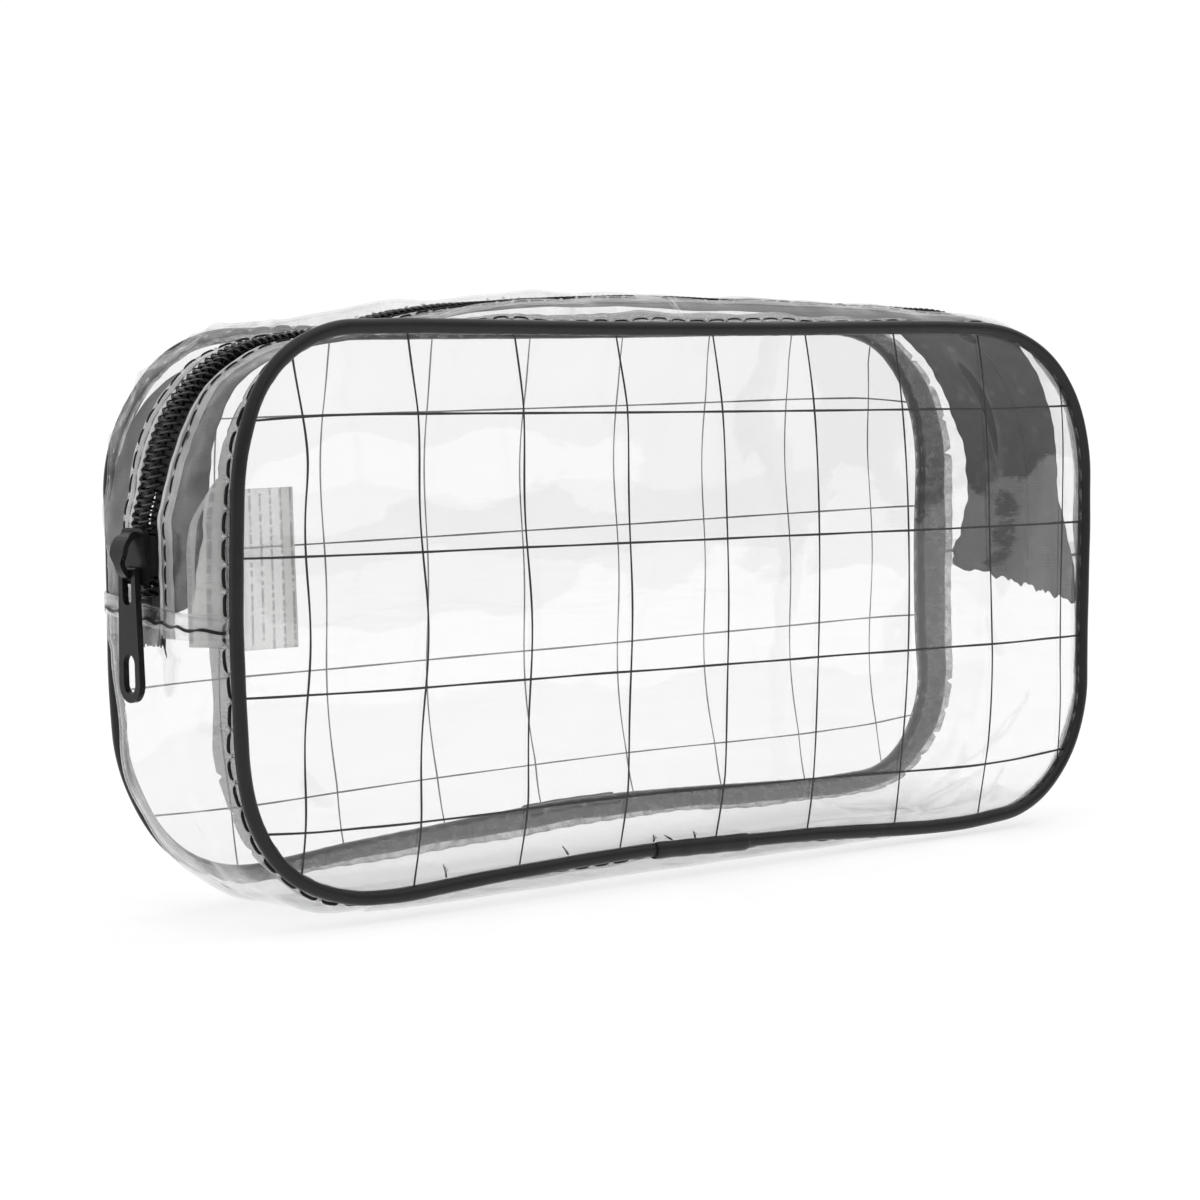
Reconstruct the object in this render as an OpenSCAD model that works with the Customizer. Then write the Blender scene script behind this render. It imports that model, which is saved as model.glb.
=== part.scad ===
// Clear vinyl makeup bag with black piping and a coil zipper.
// +Z is up, +X runs along the bag, and the front panel faces -Y.
// The origin is on the surface that the bag stands on, under the middle of the body.
// Every band of the bag is a flat profile swept round the same rounded outline.
// A profile's first coordinate is the height outwards from the outline, its second is the depth y.

/* [Body] */
// Length of the outline, measured between the piping's centres
body_w = 224; // [200:1:240]
// Height of the outline, measured between the piping's centres
body_h = 101.6; // [90:0.2:110]
// Depth between the centres of the front and back piping
body_d = 41; // [38:0.5:46]
// How far the gusset's crown stands outside the piping's centres
crown = 6.2; // [5.6:0.1:7]
// Width of the level middle of the gusset, which the bag stands on
flat_w = 24; // [22:1:26]
// How far each panel swells past its rim
panel_bulge = 4.1; // [2:0.1:6]
// Thickness of the clear vinyl
vinyl_t = 0.5; // [0.4:0.05:0.5]
// Radius of the top right corner
radius_top_right = 33; // [26:1:38]
// Radius of the top left corner
radius_top_left = 29; // [26:1:38]
// Radius of the bottom left corner
radius_bottom_left = 30; // [26:1:38]
// Radius of the bottom right corner
radius_bottom_right = 27; // [26:1:38]

/* [Piping] */
// Diameter of the piping
piping_d = 2.8; // [2.6:0.1:3.4]
// Length of the sleeve that joins the piping's two ends
sleeve_l = 24.8; // [15:0.2:30]
// Middle of the sleeve along the bottom edge
sleeve_x = -2.2; // [-20:0.2:20]
// Thickness of the sleeve's wall
sleeve_t = 0.45; // [0.3:0.05:0.5]

/* [Zipper] */
// Width of one half of the coil
coil_w = 2.85; // [2.6:0.05:2.85]
// Thickness of the coil
coil_h = 2.4; // [2.2:0.05:2.4]
// Distance from the zip's middle to the outer edge of a tape
tape_reach = 16; // [12:0.5:16]
// Thickness of the tape
tape_t = 0.5; // [0.4:0.05:0.5]
// Distance from the zip's middle to the folded edge of a vinyl strip
strip_edge = 4.5; // [4.5:0.1:5]
// Distance from the zip's middle to the row of stitches
stitch_row = 6.7; // [6:0.1:8]
// Width of the wedge that parts the coils inside the slider
wedge_w = 1.2; // [1:0.1:1.2]

/* [Slider and pull] */
// Height of the slider's lower end at rest
slider_z = 64.7; // [63:0.1:66]
// Length of the slider
slider_l = 10.3; // [9.5:0.1:10.5]
// Width of the slider's lower end, where the coils enter
slider_w = 9.6; // [8.8:0.1:9.6]
// Width of the slider's upper end
slider_neck_w = 8; // [7.8:0.1:8.4]
// Thickness of the slider's plates
plate_t = 1.1; // [0.9:0.1:1.1]
// Length of the pull from its pin to its lower end
pull_l = 24.4; // [20:0.2:26]
// Width of the pull's rounded lower end
pull_w = 7.2; // [6:0.1:8]
// Width of the pull at its upper end
pull_top_w = 5.6; // [5:0.1:6]
// Thickness of the pull
pull_t = 1.2; // [1:0.1:1.3]

/* [Seams and label] */
// Height of the folded edge of the lap where the zip band meets the bottom band
lap_z = 60.7; // [60:0.1:62]
// Height of the stitches that close the lap
lap_stitch_z = 58.2; // [57:0.1:59]
// Height of the care label's lower edge
label_z = 52.5; // [48:0.5:60]
// Height of the care label
label_h = 29.5; // [20:0.5:32]
// Width of the label's leaf behind the front panel
label_front_w = 12; // [8:0.5:16]
// Width of the label's leaf along the gusset
label_side_w = 15; // [8:0.5:16]

/* [Hidden] */
$fn = 48;
half_w = body_w / 2;
half_h = body_h / 2;
half_d = body_d / 2;
centre_z = half_h + crown;
flat_half = flat_w / 2;
radii = [radius_top_right, radius_top_left, radius_bottom_left, radius_bottom_right];
piping_r = piping_d / 2;
gap = 0.3;             // clear of pieces that move past each other
skin = 0.05;           // clear of pieces that lie on each other
thread_r = 0.25;
fold_w = 3.5;          // width of the strip's edge that is turned under
strip_rim = half_d - 1.9;
tape_top = -2 * vinyl_t - skin;
tape_low = tape_top - tape_t;
flange_top = -0.9;
flange_low = -1.25;
flange_inner = half_d - 3.1;
allowance_top = -1.9;
allowance_low = -2.4;
allowance_inner = half_d - 7;
coil_base = crown + tape_top;
coil_top = coil_base + coil_h;
coil_gap = gap / 2;
channel = wedge_w / 2 + gap;
lap_inner_z = 50;      // where the zip band's own edge ends under the lap
tape_end_z = 47.5;
coil_end_z = lap_z + 0.5;
lap_step = 1;
plate_z = coil_top + gap;
plate_top = plate_z + plate_t;
under_plate_top = crown + tape_low - gap;
under_plate_low = under_plate_top - plate_t;
cheek_inner = coil_gap + coil_w + gap;
slider_middle = slider_z + slider_l / 2;
arch_l = slider_l - 1.2;
arch_h = 3.6;
arch_wall = 1;
arch_w = 4.6;
arch_foot_w = 2.2;     // narrow end of the arch, which stands in the pull's slot
pin_r = 0.55;
pin_z = slider_middle - arch_l / 2 + arch_wall + 1;
pin_n = plate_top + gap + pull_t / 2;
pull_n = plate_top + gap;
tail_hole_w = 3.9;
tail_hole_l = 7.4;
slot_w = 3;
slot_l = 4.6;
label_t = 0.25;
label_x = -half_w + 2.5;
label_y = -half_d + 2.4;
panel_rim = 2.35;     // how far the panel's rim lies inside the outline
panel_y = half_d + 0.4;
panel_t = 0.4;
panel_insets = [0, 3, 7, 13, 21, 32, 44];

clear_vinyl = [0.86, 0.9, 0.92, 0.45];
hazy_vinyl = [0.6, 0.62, 0.64, 0.6];
black_vinyl = [0.12, 0.12, 0.13];
black_coil = [0.05, 0.05, 0.05];
grey_tape = [0.3, 0.3, 0.31];
black_thread = [0.1, 0.1, 0.1];
black_enamel = [0.16, 0.16, 0.17];
label_film = [0.92, 0.93, 0.93, 0.8];

// ---- The outline: sides 0 right, 1 top, 2 left, 3 bottom, run counter-clockwise seen from the front ----

function side_distance(k) = k % 2 == 0 ? half_w : half_h;
function side_half(k) = k % 2 == 0 ? half_h : half_w;
function side_start(k) = radii[(k + 3) % 4] - side_half(k);
function side_end(k) = side_half(k) - radii[k];

// Sweeps a profile along side k, between two places measured from the side's middle
module along_side(k, from, to)
  translate([0, 0, centre_z]) rotate([0, -90 * k, 0])
    translate([side_distance(k), 0, from]) linear_extrude(to - from) children();

// Sweeps a profile round the corner that follows side k
module round_corner(k)
  translate([0, 0, centre_z]) rotate([0, -90 * k, 0])
    translate([side_distance(k) - radii[k], 0, side_half(k) - radii[k]])
      rotate([90, 0, 0]) rotate_extrude(angle = 90)
        translate([radii[k], 0]) mirror([0, 1]) children();

module round_loop()
  for (k = [0 : 3]) {
    along_side(k, side_start(k), side_end(k)) children();
    round_corner(k) children();
  }

// The zip band's left part ends at height z, its top part opens as a flap, its right part ends at z
module along_band(part, z) {
  if (part == "left") {
    along_side(2, side_start(2), centre_z - z) children();
    round_corner(1) children();
  }
  if (part == "top")
    along_side(1, side_start(1) + gap, side_end(1) - gap) children();
  if (part == "right") {
    along_side(0, z - centre_z, side_end(0)) children();
    round_corner(0) children();
  }
}

// ---- Profiles, drawn for the back half of the bag ----

// Height of the crowned gusset at depth y
function crown_at(y) =
  crown * (1 - pow(max(0, abs(y) - flat_half) / (half_d - flat_half), 2));

// Depths at which a band's profile has a point
function band_depths(from, to) =
  concat([from], [for (y = [flat_half, 14, 15.5, 17]) if (y > from + 0.2 && y < to - 0.2) y], [to]);

// A band that follows the crown between two depths, from height top down to height low under it
module band(from, to, top, low) {
  depths = band_depths(from, to);
  last = len(depths) - 1;
  polygon(concat(
    [for (y = depths) [crown_at(y) + top, y]],
    [for (i = [last : -1 : 0]) [crown_at(depths[i]) + low, depths[i]]]
  ));
}

module strip_profile() {
  band(strip_edge, strip_rim, 0, -vinyl_t);
  band(strip_edge, strip_edge + fold_w, -vinyl_t, -2 * vinyl_t);
}

module tape_profile(inner) band(inner, tape_reach, tape_top, tape_low);

module coil_profile(inner) {
  r = coil_h / 2;
  outer = coil_gap + coil_w;
  translate([coil_base + r, outer - r]) circle(r);
  translate([coil_base, inner]) square([coil_h, outer - r - inner]);
}

module thread_profile(n, y) translate([n + thread_r, y]) circle(thread_r, $fn = 16);

module piping_profile() {
  translate([0, half_d]) circle(piping_r);
  polygon([
    [0.5, half_d - 0.9], [1.3, half_d - 0.6],
    [crown_at(half_d - 1.7) + flange_top, half_d - 1.7],
    [crown_at(flange_inner) + flange_top, flange_inner],
    [crown_at(flange_inner) + flange_low, flange_inner],
    [crown_at(half_d - 1.7) + flange_low, half_d - 1.7]
  ]);
}

// The turned-in edges of the panel and the gusset, which wrap the piping's inner side
module allowance_profile() {
  y0 = allowance_inner;
  y1 = half_d - 4;
  y2 = half_d - 1.9;
  polygon([
    [crown_at(y0) + allowance_top, y0], [crown_at(y1) + allowance_top, y1],
    [crown_at(y2) + allowance_top, y2], [-0.4, y2 + 0.1],
    [-1.4, half_d - 1.35], [-1.95, half_d - 0.4], [-1.95, half_d + 0.4],
    [-2.3, half_d + 0.4], [-2.3, half_d - 0.6], [-1.7, half_d - 1.75], [-0.5, half_d - 2.3],
    [crown_at(y2 - 0.4) + allowance_low, y2 - 0.4],
    [crown_at(y1) + allowance_low, y1], [crown_at(y0) + allowance_low, y0]
  ]);
}

module both_halves() {
  children();
  mirror([0, 1]) children();
}

// ---- Panels ----

// Points of the outline, drawn inset all round, at depth y
function inset_radius(k, inset) = max(1, radii[k] - inset);
function outline(inset, y) = [
  for (k = [0 : 3], a = [0 : 15 : 90])
    let (
      r = inset_radius(k, inset),
      x = side_distance(k) - inset - r + r * cos(a),
      z = side_half(k) - inset - r + r * sin(a),
      turn = 90 * k
    )
    [x * cos(turn) - z * sin(turn), y, centre_z + x * sin(turn) + z * cos(turn)]
];
function swell(inset) =
  panel_bulge * (1 - pow(1 - inset / panel_insets[len(panel_insets) - 1], 2.4));

// A crowned sheet: the outer surface ring by ring, then the inner surface, a rim and two caps
module panel() {
  rings = len(panel_insets);
  count = len(outline(0, 0));
  outer = [for (d = panel_insets) each outline(panel_rim + d, panel_y + swell(d))];
  inner = [for (d = panel_insets) each outline(panel_rim + d, panel_y - panel_t + swell(d))];
  under = rings * count;
  function ring(i, j) = i * count + j % count;
  polyhedron(
    points = concat(outer, inner),
    faces = concat(
      [for (i = [0 : rings - 2], j = [0 : count - 1]) each [
        [ring(i, j), ring(i, j + 1), ring(i + 1, j + 1)],
        [ring(i, j), ring(i + 1, j + 1), ring(i + 1, j)]
      ]],
      [for (i = [0 : rings - 2], j = [0 : count - 1]) each [
        [under + ring(i, j), under + ring(i + 1, j + 1), under + ring(i, j + 1)],
        [under + ring(i, j), under + ring(i + 1, j), under + ring(i + 1, j + 1)]
      ]],
      [for (j = [0 : count - 1]) each [
        [ring(0, j), under + ring(0, j), under + ring(0, j + 1)],
        [ring(0, j), under + ring(0, j + 1), ring(0, j + 1)]
      ]],
      [[for (j = [0 : count - 1]) ring(rings - 1, j)]],
      [[for (j = [count - 1 : -1 : 0]) under + ring(rings - 1, j)]]
    )
  );
}
module back_panel() color(clear_vinyl) panel();
module front_panel() color(clear_vinyl) mirror([0, 1, 0]) panel();

// ---- Piping and seams ----

module piping() round_loop() piping_profile();
module back_piping() color(black_vinyl) piping();
module front_piping() color(black_vinyl) mirror([0, 1, 0]) piping();

// A split tube over the butted ends, open on the side where the flange and the seam leave the piping
module piping_sleeve() {
  mouth = 4;
  along_side(3, sleeve_x - sleeve_l / 2, sleeve_x + sleeve_l / 2)
    translate([0, half_d]) difference() {
      circle(piping_r + skin + sleeve_t);
      circle(piping_r + skin);
      polygon([[0, 0], [-mouth, 0.8], [-mouth, -mouth], [mouth, -mouth], [mouth, 0.3]]);
    }
}
module back_piping_sleeve() color(black_vinyl) piping_sleeve();
module front_piping_sleeve() color(black_vinyl) mirror([0, 1, 0]) piping_sleeve();

module seam_allowance() round_loop() allowance_profile();
module back_seam_allowance() color(hazy_vinyl) seam_allowance();
module front_seam_allowance() color(hazy_vinyl) mirror([0, 1, 0]) seam_allowance();

module seam_thread() {
  y = half_d - 2.8;
  round_loop() thread_profile(crown_at(y) + allowance_low - 0.35 - 2 * thread_r, y);
}
module back_seam_thread() color(black_thread) seam_thread();
module front_seam_thread() color(black_thread) mirror([0, 1, 0]) seam_thread();

// ---- Bottom band, with a lap at each end that covers the zip band's end ----

module lower_band(z) {
  along_side(2, centre_z - z, side_end(2)) children();
  round_corner(2) children();
  along_side(3, side_start(3), side_end(3)) children();
  round_corner(3) children();
  along_side(0, side_start(0), z - centre_z) children();
}

module lap(k) {
  sign = k == 0 ? 1 : -1;
  place = function (z) sign * (z - centre_z);
  step = [place(lap_inner_z - lap_step), place(lap_inner_z)];
  cover = [place(lap_inner_z), place(lap_z)];
  along_side(k, min(step), max(step)) both_halves() band(0, strip_rim, vinyl_t + skin, -vinyl_t);
  along_side(k, min(cover), max(cover)) both_halves() band(0, strip_rim, vinyl_t + skin, skin);
}

module bottom_gusset() color(clear_vinyl) {
  lower_band(lap_inner_z - lap_step) both_halves() band(0, strip_rim, 0, -vinyl_t);
  lap(0);
  lap(2);
}

module lap_thread(k) {
  place = (k == 0 ? 1 : -1) * (lap_stitch_z - centre_z);
  along_side(k, place - thread_r, place + thread_r)
    both_halves() band(0, strip_rim, vinyl_t + 2 * skin + 2 * thread_r, vinyl_t + 2 * skin);
}
module left_lap_thread() color(black_thread) lap_thread(2);
module right_lap_thread() color(black_thread) lap_thread(0);

// ---- Zip band: vinyl strip, tape, half coil and stitches on each side of the zip ----

module strip(part) along_band(part, lap_inner_z + skin) strip_profile();
module front_strip_left() color(clear_vinyl) mirror([0, 1, 0]) strip("left");
module front_strip_top() color(clear_vinyl) mirror([0, 1, 0]) strip("top");
module front_strip_right() color(clear_vinyl) mirror([0, 1, 0]) strip("right");
module back_strip_left() color(clear_vinyl) strip("left");
module back_strip_top() color(clear_vinyl) strip("top");
module back_strip_right() color(clear_vinyl) strip("right");

// The left part leaves a channel along the zip's middle for the slider's wedge
function inner_edge(part, edge) = part == "left" ? channel : edge;

module tape(part) along_band(part, tape_end_z) tape_profile(inner_edge(part, 0.5));
module front_tape_left() color(grey_tape) mirror([0, 1, 0]) tape("left");
module front_tape_top() color(grey_tape) mirror([0, 1, 0]) tape("top");
module front_tape_right() color(grey_tape) mirror([0, 1, 0]) tape("right");
module back_tape_left() color(grey_tape) tape("left");
module back_tape_top() color(grey_tape) tape("top");
module back_tape_right() color(grey_tape) tape("right");

module coil(part) along_band(part, coil_end_z) coil_profile(inner_edge(part, coil_gap));
module front_coil_left() color(black_coil) mirror([0, 1, 0]) coil("left");
module front_coil_top() color(black_coil) mirror([0, 1, 0]) coil("top");
module front_coil_right() color(black_coil) mirror([0, 1, 0]) coil("right");
module back_coil_left() color(black_coil) coil("left");
module back_coil_top() color(black_coil) coil("top");
module back_coil_right() color(black_coil) coil("right");

module zip_thread(part) along_band(part, coil_end_z) thread_profile(crown + skin, stitch_row);
module front_zip_thread_left() color(black_thread) mirror([0, 1, 0]) zip_thread("left");
module front_zip_thread_top() color(black_thread) mirror([0, 1, 0]) zip_thread("top");
module front_zip_thread_right() color(black_thread) mirror([0, 1, 0]) zip_thread("right");
module back_zip_thread_left() color(black_thread) zip_thread("left");
module back_zip_thread_top() color(black_thread) zip_thread("top");
module back_zip_thread_right() color(black_thread) zip_thread("right");

// ---- Slider and pull, drawn with x as the height above the left side of the outline ----

module on_left_side() translate([-half_w, 0, 0]) rotate([0, 0, 180]) children();

// Plan of a plate: a rounded shield that is wide at its lower end
module plate_plan() {
  r = 1.5;
  shoulder = slider_z + 4.2;
  for (s = [-1, 1]) {
    translate([slider_z + r, s * (slider_w / 2 - r - 0.4)]) circle(r);
    translate([slider_z + slider_l - r, s * (slider_neck_w / 2 - r)]) circle(r);
  }
  polygon([
    [slider_z, -slider_w / 2 + r + 0.4], [slider_z + r, -slider_w / 2 + 0.4],
    [shoulder - 1, -slider_w / 2], [shoulder + 1.5, -slider_neck_w / 2 - 0.1],
    [slider_z + slider_l - r, -slider_neck_w / 2], [slider_z + slider_l, -slider_neck_w / 2 + r],
    [slider_z + slider_l, slider_neck_w / 2 - r], [slider_z + slider_l - r, slider_neck_w / 2],
    [shoulder + 1.5, slider_neck_w / 2 + 0.1], [shoulder - 1, slider_w / 2],
    [slider_z + r, slider_w / 2 - 0.4], [slider_z, slider_w / 2 - r - 0.4]
  ]);
}
module plate(low, top)
  translate([top, 0, 0]) rotate([0, -90, 0]) linear_extrude(top - low) plate_plan();

// Half an ellipse that stands on the upper plate, as wide as the arch's widest place
module arch_side(length, height)
  rotate([90, 0, 0]) linear_extrude(arch_w, center = true)
    polygon([for (a = [0 : 12 : 180])
      [plate_top + height * sin(a), slider_middle + length / 2 * cos(a)]]);

// The arch seen from outside: narrow in the pull's slot, wide and rounded above the pin
module arch_plan() {
  foot = arch_foot_w / 2;
  wide_from = pin_z + 1.3;
  wide_to = pin_z + 3;
  end = slider_middle + arch_l / 2;
  polygon([
    [slider_z, -foot], [wide_from, -foot], [wide_to, -arch_w / 2], [end - 1, -arch_w / 2],
    [end, -foot], [end, foot], [end - 1, arch_w / 2], [wide_to, arch_w / 2],
    [wide_from, foot], [slider_z, foot]
  ]);
}

module slider_body() color(black_enamel) on_left_side() {
  plate(plate_z, plate_top);
  plate(under_plate_low, under_plate_top);
  for (s = [-1, 1]) mirror([0, s < 0 ? 1 : 0, 0])
    translate([crown + tape_top + gap, cheek_inner, slider_z + 1.5])
      cube([plate_z - crown - tape_top, strip_edge - gap - cheek_inner, slider_l - 3]);
  translate([under_plate_top - 0.1, -wedge_w / 2, slider_z + 0.4])
    cube([plate_z - under_plate_top + 0.2, wedge_w, 2.6]);
  intersection() {
    difference() {
      arch_side(arch_l, arch_h);
      translate([-0.01, 0, 0]) arch_side(arch_l - 2 * arch_wall, arch_h - arch_wall);
    }
    translate([plate_top + arch_h, 0, 0]) rotate([0, -90, 0]) linear_extrude(arch_h) arch_plan();
  }
}

module stadium(length, width) {
  r = width / 2;
  for (s = [-1, 1]) translate([s * (length / 2 - r), 0]) circle(r);
  square([length - width, width], center = true);
}

// A tapered plate hung from a round pin, with a slot for the arch and a hole in its wide end
module pull_tab() color(black_enamel) on_left_side() {
  end_r = pull_w / 2;
  low = pin_z - pull_l;
  translate([pull_n + pull_t, 0, 0]) rotate([0, -90, 0]) linear_extrude(pull_t)
    difference() {
      union() {
        translate([low + end_r, 0]) circle(end_r);
        polygon([
          [low + end_r, -end_r], [pin_z - 0.3, -pull_top_w / 2],
          [pin_z - 0.3, pull_top_w / 2], [low + end_r, end_r]
        ]);
      }
      translate([low + 1.6 + tail_hole_l / 2, 0]) stadium(tail_hole_l, tail_hole_w);
      translate([pin_z - 0.3 - slot_l / 2, 0]) stadium(slot_l + slot_w, slot_w);
    }
  for (s = [-1, 1]) translate([pin_n, s * (pull_top_w + slot_w) / 4, pin_z])
    rotate([90, 0, 0]) cylinder(h = (pull_top_w - slot_w) / 2, r = pull_t / 2, center = true);
  translate([pin_n, 0, pin_z]) rotate([90, 0, 0]) cylinder(h = pull_top_w, r = pin_r, center = true);
}

// ---- Care label: one film folded in the front seam, a leaf behind the panel and one along the gusset ----

module care_label() color(label_film)
  translate([label_x, label_y, label_z]) linear_extrude(label_h) {
    square([label_front_w, label_t]);
    square([label_t, label_side_w]);
  }

front_panel();
back_panel();
front_piping();
back_piping();
front_piping_sleeve();
back_piping_sleeve();
front_seam_allowance();
back_seam_allowance();
front_seam_thread();
back_seam_thread();
bottom_gusset();
left_lap_thread();
right_lap_thread();
front_strip_left();
front_strip_top();
front_strip_right();
back_strip_left();
back_strip_top();
back_strip_right();
front_tape_left();
front_tape_top();
front_tape_right();
back_tape_left();
back_tape_top();
back_tape_right();
front_coil_left();
front_coil_top();
front_coil_right();
back_coil_left();
back_coil_top();
back_coil_right();
front_zip_thread_left();
front_zip_thread_top();
front_zip_thread_right();
back_zip_thread_left();
back_zip_thread_top();
back_zip_thread_right();
slider_body();
pull_tab();
care_label();
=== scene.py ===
"""Looks for the clear vinyl makeup bag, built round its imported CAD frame.

Lengths inside this script are millimetres until they reach a mesh. +Z is up, +X runs along the bag and the
front panel faces -Y. A place on a band of the bag is (s, n, y): s runs round the outline, counter-clockwise
seen from the front, n is the height outwards from the piping's centre line and y is the depth.
"""

import math

import bpy
import numpy as np
from mathutils import Euler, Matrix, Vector

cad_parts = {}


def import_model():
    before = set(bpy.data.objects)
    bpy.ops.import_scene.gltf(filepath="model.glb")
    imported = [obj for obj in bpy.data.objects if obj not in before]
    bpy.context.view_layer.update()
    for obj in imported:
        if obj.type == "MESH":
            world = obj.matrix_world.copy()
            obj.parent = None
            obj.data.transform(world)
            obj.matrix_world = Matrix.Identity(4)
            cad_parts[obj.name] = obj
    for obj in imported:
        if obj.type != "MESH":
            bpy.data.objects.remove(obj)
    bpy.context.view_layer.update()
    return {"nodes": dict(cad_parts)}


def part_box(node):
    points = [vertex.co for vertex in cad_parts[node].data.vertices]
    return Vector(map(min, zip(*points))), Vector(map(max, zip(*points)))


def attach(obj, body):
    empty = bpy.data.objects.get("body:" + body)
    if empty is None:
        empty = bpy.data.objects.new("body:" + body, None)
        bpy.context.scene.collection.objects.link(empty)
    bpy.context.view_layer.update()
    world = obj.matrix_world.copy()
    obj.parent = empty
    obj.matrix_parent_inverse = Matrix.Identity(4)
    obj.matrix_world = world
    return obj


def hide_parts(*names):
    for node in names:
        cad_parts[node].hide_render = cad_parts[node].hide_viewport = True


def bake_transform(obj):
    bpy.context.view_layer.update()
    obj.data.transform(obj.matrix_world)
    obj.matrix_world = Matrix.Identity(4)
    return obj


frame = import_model()
MM = 0.001
RNG = np.random.default_rng(11)
TAU = 2 * math.pi


def mm_box(node):
    low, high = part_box(node)
    return np.array(low) * 1000, np.array(high) * 1000


# ---- Sizes, read from the frame ----
PIPE_R = 1.4
PIPE_LOW, PIPE_HIGH = mm_box("back_piping")
HALF_W = PIPE_HIGH[0] - PIPE_R
HALF_H = (PIPE_HIGH[2] - PIPE_LOW[2]) / 2 - PIPE_R
CENTRE_Z = (PIPE_HIGH[2] + PIPE_LOW[2]) / 2
HALF_D = PIPE_HIGH[1] - PIPE_R
GUSSET_LOW, GUSSET_HIGH = mm_box("bottom_gusset")
CROWN = CENTRE_Z - HALF_H - GUSSET_LOW[2]
FLAT_HALF = 12.0                     # half the width of the band's flat middle
BAND_EDGE = 19.7                     # depth where the band meets the piping
RADII = [33.0, 29.0, 30.0, 27.0]     # corners: top right, top left, bottom left, bottom right
LAP_Z = GUSSET_HIGH[2]
LAP_STITCH_Z = mm_box("left_lap_thread")[0][2] + 0.25
TAPE_END_Z = mm_box("front_tape_left")[0][2]
SLEEVE_LOW, SLEEVE_HIGH = mm_box("front_piping_sleeve")
LABEL_LOW, LABEL_HIGH = mm_box("care_label")
VINYL_T = 0.45
LAP_LIFT = VINYL_T + 0.12            # the lapped end lies on the band below it
LAP_SLOPE = 0.1                      # the left lap runs a little aslant
TAPE_N = -1.05                       # the tape's upper face, under the crown
TAPE_T = 0.28
COIL_PITCH = 1.54
TURN_POINTS = 16
STRIP_EDGE = 4.5
STITCH_Y = 6.7
STITCH_PITCH = 4.05
SEAM_Y = 18.7
SEAM_PITCH = 5.0
GRID_PITCH = 25.4

# ---- The outline ----
SIDE_D = [HALF_W, HALF_H, HALF_W, HALF_H]
SIDE_HALF = [HALF_H, HALF_W, HALF_H, HALF_W]
START = [RADII[k - 1] - SIDE_HALF[k] for k in range(4)]
END = [SIDE_HALF[k] - RADII[k] for k in range(4)]
LENGTHS = [x for k in range(4) for x in (END[k] - START[k], RADII[k] * math.pi / 2)]
STARTS = np.concatenate([[0], np.cumsum(LENGTHS)])
LOOP = STARTS[-1]


def place(k, t):
    """Where the place t on side k's straight part lies round the outline."""
    return STARTS[2 * k] + t - START[k]


def corner(k, share):
    return STARTS[2 * k + 1] + share * LENGTHS[2 * k + 1]


def on_right(z):
    return place(0, z - CENTRE_Z)


def on_top(x):
    return place(1, -x)


def on_left(z):
    return place(2, CENTRE_Z - z)


def on_bottom(x):
    return place(3, x)


def outline(s):
    """Points and outward normals, each (count, 2) in x and z, at places s."""
    s = np.mod(np.asarray(s, float), LOOP)
    p, n = np.zeros(s.shape + (2,)), np.zeros(s.shape + (2,))
    for k in range(4):
        a = k * math.pi / 2
        ed = np.array([math.cos(a), math.sin(a)])
        et = np.array([-math.sin(a), math.cos(a)])
        m = (s >= STARTS[2 * k]) & (s < STARTS[2 * k + 1])
        t = START[k] + s[m] - STARTS[2 * k]
        p[m] = SIDE_D[k] * ed + t[:, None] * et
        n[m] = ed
        m = (s >= STARTS[2 * k + 1]) & (s <= STARTS[2 * k + 2])
        b = (s[m] - STARTS[2 * k + 1]) / RADII[k]
        n[m] = np.cos(b)[:, None] * ed + np.sin(b)[:, None] * et
        p[m] = (SIDE_D[k] - RADII[k]) * ed + END[k] * et + RADII[k] * n[m]
    p[..., 1] += CENTRE_Z
    return p, n


def hump(x, middle, half, power=2):
    """A bump of height 1 that falls off half away from its middle, more sharply for a higher power."""
    return np.exp(-(((x - middle) / half) ** power))


def through(knots, rounding):
    """A periodic function of s through knots (s, value), rounded over some millimetres."""
    grid = np.arange(0, LOOP, 0.5)
    ks = sorted((s % LOOP, v) for s, v in knots)
    xs = [ks[-1][0] - LOOP] + [s for s, _ in ks] + [ks[0][0] + LOOP]
    vs = [ks[-1][1]] + [v for _, v in ks] + [ks[0][1]]
    raw = np.interp(grid, xs, vs)
    half = int(3 * rounding / 0.5)
    w = np.exp(-0.5 * (np.arange(-half, half + 1) * 0.5 / rounding) ** 2)
    w /= w.sum()
    soft = np.convolve(np.concatenate([raw[-half:], raw, raw[:half]]), w, "valid")
    return lambda s: np.interp(np.mod(s, LOOP), np.append(grid, LOOP), np.append(soft, soft[0]))


def smooth_loop(rounding, right=(), top=(), left=(), bottom=(), corners=()):
    """As through, with knots on the sides as (z or x, value) and on the corners as (corner, share, value)."""
    knots = [(corner(k, share), v) for k, share, v in corners]
    for where, side in ((on_right, right), (on_top, top), (on_left, left), (on_bottom, bottom)):
        knots += [(where(t), v) for t, v in side]
    return through(knots, rounding)


# How far the crown of the band stands outside the piping's centres
crown_of = smooth_loop(
    rounding=2.0,
    right=[(40, 5.2), (70, 5.0)],
    top=[(84, 3.8), (65, 4.8), (50, 5.8), (30, 6.6), (5, 7.3), (-16, 7.5), (-50, 6.0), (-60, 4.6),
         (-70, 2.6), (-80, 0.8)],
    left=[(80, 3.4), (77, 5.4), (74, CROWN), (50, CROWN)],
    bottom=[(-66, CROWN), (74, CROWN)],
    corners=[(0, 0.5, 4.4), (1, 0.1, 0.0), (1, 0.3, 0.6), (1, 0.5, 1.6), (1, 0.8, 2.3), (2, 0.5, 3.6),
             (3, 0.5, 3.4)],
)
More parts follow.
